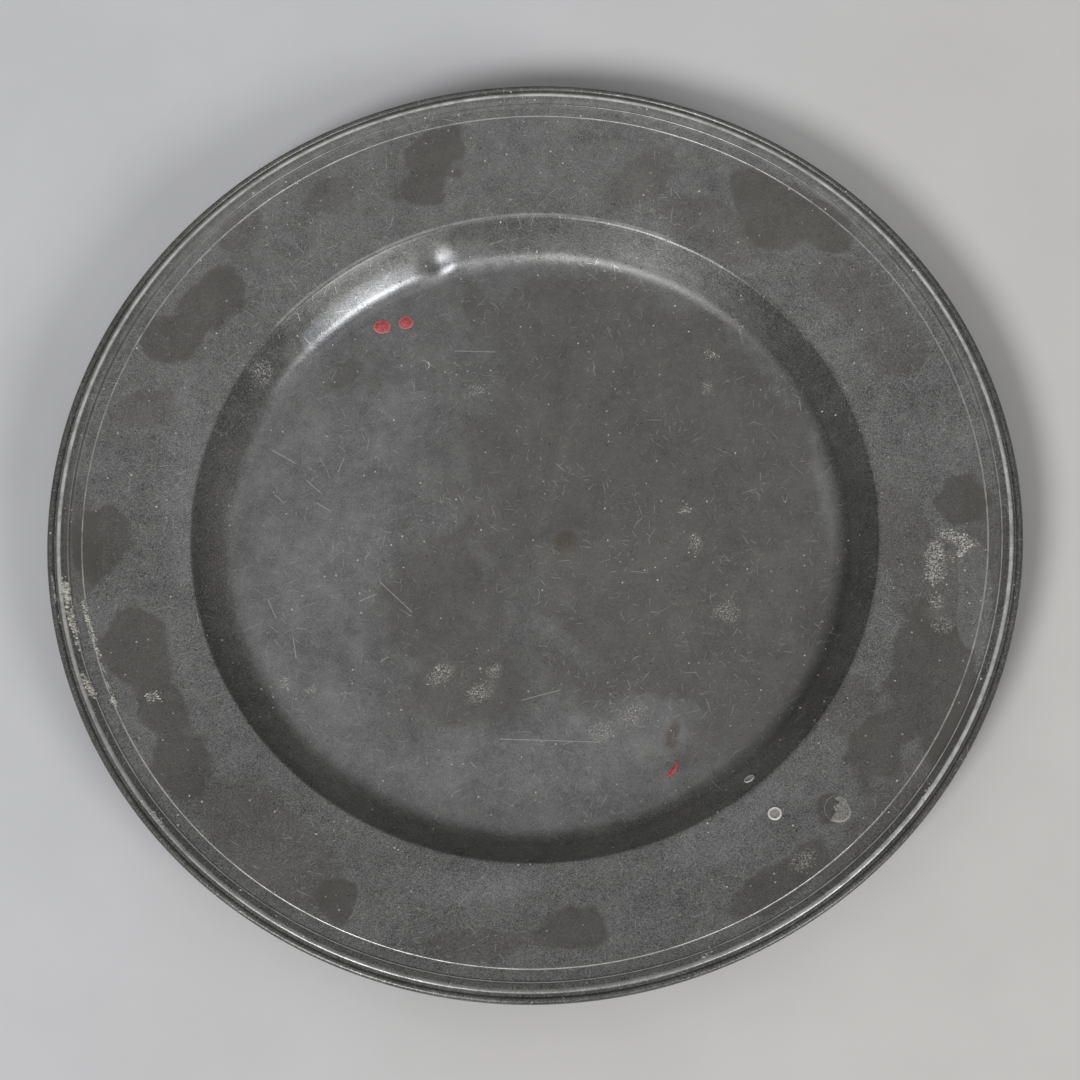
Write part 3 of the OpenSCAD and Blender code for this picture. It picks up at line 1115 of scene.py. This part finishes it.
def make_blister():
    crust = dried_material("blister_crust", BLISTER, roughness=0.7, lump=0.8)
    angles = np.radians(np.linspace(HALF_RING_FROM, HALF_RING_TO, 24))
    half_ring = [(*polar(HALF_RING_AT, HALF_RING_R, angle), 0.8) for angle in angles]
    blister = Dab()
    blister.mound(pixel_seat(*BLISTER_AT), CRUST, CRUST_RINGS, lump=0.12)
    blister.ridge(pixel_seat(*BLISTER_AT), half_ring, width=0.45, height=0.15)
    blister.piece("rim_blister", crust, "dried_drop")


def make_camera():
    lens = bpy.data.cameras.new("photo_camera")
    lens.sensor_width = SENSOR_W
    lens.lens = FOCAL_PIXELS / PHOTO_SIDE * SENSOR_W
    camera = bpy.data.objects.new("photo_camera", lens)
    bpy.context.collection.objects.link(camera)
    camera.matrix_world = Matrix.Translation(CAMERA_AT) @ CAMERA_TURN.to_4x4()
    bpy.context.scene.camera = camera


def make_floor():
    deselect_all()
    bpy.ops.mesh.primitive_plane_add(size=FLOOR_SIZE)
    floor = bpy.context.object
    floor.name = "floor"
    material, shader, place = new_material("pale_floor")
    mottle = place.noise(90, 4, 0.6).ramp(0.3, 0.7)
    across = (place.part(0) + place.part(1) * -0.5).ramp(-260, 260)
    # Painted light falloff: the floor a little darker towards the back and lighter towards the front
    tone = 0.95 + mottle * 0.05 - place.part(1) * 0.0001
    colour = toned(across.blend(FLOOR_LEFT, FLOOR_RIGHT), tone)
    feed(material.node_tree, shader["Base Color"], colour)
    shader["Roughness"].default_value = 0.7
    shader["Specular IOR Level"].default_value = 0.2
    floor.data.materials.append(material)


def make_sun(name, strength, spread, lean, heading):
    """A soft distant lamp that stands this far from overhead, towards a heading from +X, in degrees."""
    lamp = bpy.data.lights.new(name, "SUN")
    lamp.energy = strength
    lamp.angle = math.radians(spread)
    sun = bpy.data.objects.new(name, lamp)
    bpy.context.collection.objects.link(sun)
    leant = Matrix.Rotation(math.radians(lean), 4, "Y")
    sun.matrix_world = Matrix.Rotation(math.radians(heading), 4, "Z") @ leant


def make_light():
    make_sun("left_light", strength=2.02, spread=18, lean=48, heading=-128)
    make_sun("right_light", strength=1.28, spread=22, lean=60, heading=-51)
    world = bpy.data.worlds.new("studio")
    bpy.context.scene.world = world
    world.use_nodes = True
    tree = world.node_tree
    towards = Value(tree, tree.nodes.new("ShaderNodeTexCoord").outputs["Generated"])
    overhead = (towards.part(2) - towards.part(0) * 0.1).ramp(0.35, 0.95)
    feed(tree, tree.nodes["Background"].inputs["Color"], overhead.blend(SKY_LOW, SKY_HIGH))


make_camera()
make_floor()
make_light()
make_charger()
make_wax()
make_drops()
make_lime()
make_blister()

bpy.context.scene.view_settings.view_transform = "Standard"
